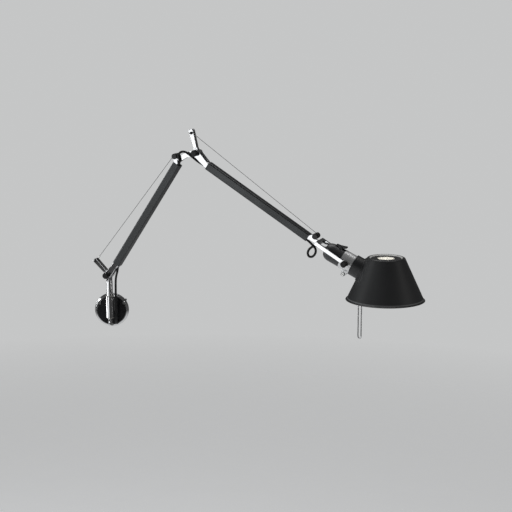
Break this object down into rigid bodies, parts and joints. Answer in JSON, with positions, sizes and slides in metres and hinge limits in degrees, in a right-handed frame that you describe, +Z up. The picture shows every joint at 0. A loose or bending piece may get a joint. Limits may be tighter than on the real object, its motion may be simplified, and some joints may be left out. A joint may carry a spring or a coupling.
{
  "type": "articulating wall lamp",
  "caption": "Wall lamp on a swivelling stem: two spring-balanced arms with tension wires, a friction-held tilting head, a conical shade and a wire handle.",
  "frame": {"origin": "centre of the wall plate's back face, on the wall", "axes": "+Z up, +Y into the wall, +X along the wall"},
  "size_m": [0.6118, 0.3122, 0.3916],
  "materials": {
    "plate_polish": "polished",
    "cover_black": "gloss",
    "screw_steel": "satin",
    "bracket_steel": "polished",
    "bush_nylon": "matte",
    "gland_black": "satin",
    "terminal_white": "matte",
    "bright_steel": "polished",
    "knob_black": "satin",
    "tube_grey": "satin, metallic grey",
    "spring_steel": "satin",
    "wire_steel": "drawn",
    "pulley_nylon": "matte",
    "cap_black": "satin",
    "collar_alu": "satin",
    "housing_dark": "satin",
    "switch_black": "satin",
    "holder_white": "glazed",
    "bulb_white": "opal",
    "shade_paint": "satin outside, white inside",
    "handle_steel": "polished",
    "cable_black": "satin"
  },
  "bodies": {
    "wall_bracket": {"wall_plate": "plate_polish", "plate_cover": "cover_black", "plate_screws": "screw_steel", "socket_bracket": "bracket_steel", "bracket_screws": "screw_steel", "socket_bushes": "bush_nylon", "cable_gland": "gland_black", "terminal_block": "terminal_white", "cable_base": "cable_black"},
    "stem": {"stem": "bright_steel", "keeper_screw": "screw_steel", "shoulder_bolt": "bright_steel", "shoulder_washers": "bush_nylon", "shoulder_nut": "bright_steel", "lower_lever": "bright_steel", "lower_lever_pin": "knob_black", "lower_bobbin": "pulley_nylon"},
    "shoulder_knob": {"shoulder_knob": "knob_black"},
    "lower_arm": {"lower_foot": "bright_steel", "lower_tube": "tube_grey", "lower_spring": "spring_steel", "lower_axle": "cap_black", "lower_wire": "wire_steel", "elbow_link": "bright_steel", "elbow_bolt": "bright_steel", "elbow_washers": "bush_nylon", "elbow_nut": "bright_steel", "upper_lever": "bright_steel", "upper_lever_pin": "knob_black", "upper_bobbin": "pulley_nylon", "cable_lower": "cable_black"},
    "lower_pulley": {"lower_pulley": "pulley_nylon"},
    "elbow_knob": {"elbow_knob": "knob_black"},
    "upper_arm": {"upper_foot": "bright_steel", "upper_tube": "tube_grey", "upper_spring": "spring_steel", "upper_axle": "cap_black", "upper_wire": "wire_steel", "head_fork": "bright_steel", "cable_upper": "cable_black"},
    "upper_pulley": {"upper_pulley": "pulley_nylon"},
    "head": {"head_collar": "collar_alu", "clamp_screw": "screw_steel", "tilt_bolts": "bright_steel", "tilt_washers": "bush_nylon", "tilt_nut": "bright_steel", "lamp_housing": "housing_dark", "switch_block": "switch_black", "rear_cap": "housing_dark", "cord_grip": "gland_black", "lamp_holder": "holder_white", "bulb": "bulb_white", "cable_head": "cable_black"},
    "tilt_knob": {"tilt_knob": "knob_black"},
    "switch_rocker": {"switch_paddle": "switch_black"},
    "shade": {"shade": "shade_paint", "shade_neck": "shade_paint", "wire_handle": "handle_steel"}
  },
  "joints": [
    {"name": "swivel", "type": "hinge", "parent": "wall_bracket", "child": "stem", "pos_m": [0, -0.03, 0], "axis": [0, 0, -1], "range_deg": [-15, 155], "deforming": ["cable_base"]},
    {"name": "shoulder", "type": "hinge", "parent": "stem", "child": "lower_arm", "pos_m": [0, -0.03, 0.0758], "axis": [-0.342, -0.9397, 0], "range_deg": [-50, 30], "deforming": ["lower_wire", "lower_spring", "cable_lower"]},
    {"name": "elbow", "type": "hinge", "parent": "lower_arm", "child": "upper_arm", "pos_m": [0.17429, -0.09344, 0.31515], "axis": [-0.342, -0.9397, 0], "range_deg": [-45, 75], "deforming": ["upper_wire", "upper_spring", "cable_upper"]},
    {"name": "head_tilt", "type": "hinge", "parent": "upper_arm", "child": "head", "pos_m": [0.44407, -0.19163, 0.13189], "axis": [-0.342, -0.9397, 0], "range_deg": [-60, 75], "deforming": ["cable_head"]},
    {"name": "shade_turn", "type": "hinge", "parent": "head", "child": "shade", "pos_m": [0.44407, -0.19163, 0.13189], "axis": [0.8446, -0.3074, -0.4384], "range_deg": [-120, 120]},
    {"name": "switch_rock", "type": "hinge", "parent": "head", "child": "switch_rocker", "pos_m": [0.43274, -0.18751, 0.15679], "axis": [-0.342, -0.9397, 0], "range_deg": [-14, 0]},
    {"name": "shoulder_knob_turn", "type": "hinge", "parent": "stem", "child": "shoulder_knob", "pos_m": [0, -0.03, 0.0758], "axis": [-0.342, -0.9397, 0], "range_deg": [-360, 360]},
    {"name": "elbow_knob_turn", "type": "hinge", "parent": "lower_arm", "child": "elbow_knob", "pos_m": [0.17429, -0.09344, 0.31515], "axis": [-0.342, -0.9397, 0], "range_deg": [-360, 360]},
    {"name": "tilt_knob_turn", "type": "hinge", "parent": "head", "child": "tilt_knob", "pos_m": [0.44407, -0.19163, 0.13189], "axis": [-0.342, -0.9397, 0], "range_deg": [-360, 360]},
    {"name": "lower_pulley_spin", "type": "hinge", "parent": "lower_arm", "child": "lower_pulley", "pos_m": [0.1349, -0.0791, 0.30766], "axis": [-0.342, -0.9397, 0], "range_deg": [-246.4, 410.7]},
    {"name": "upper_pulley_spin", "type": "hinge", "parent": "upper_arm", "child": "upper_pulley", "pos_m": [0.38879, -0.17151, 0.17451], "axis": [-0.342, -0.9397, 0], "range_deg": [-462, 277.2]}
  ],
  "couplings": [
    {"joint": "lower_pulley_spin", "follows": "shoulder", "ratio": -8.0523},
    {"joint": "upper_pulley_spin", "follows": "elbow", "ratio": -6.0399}
  ]
}
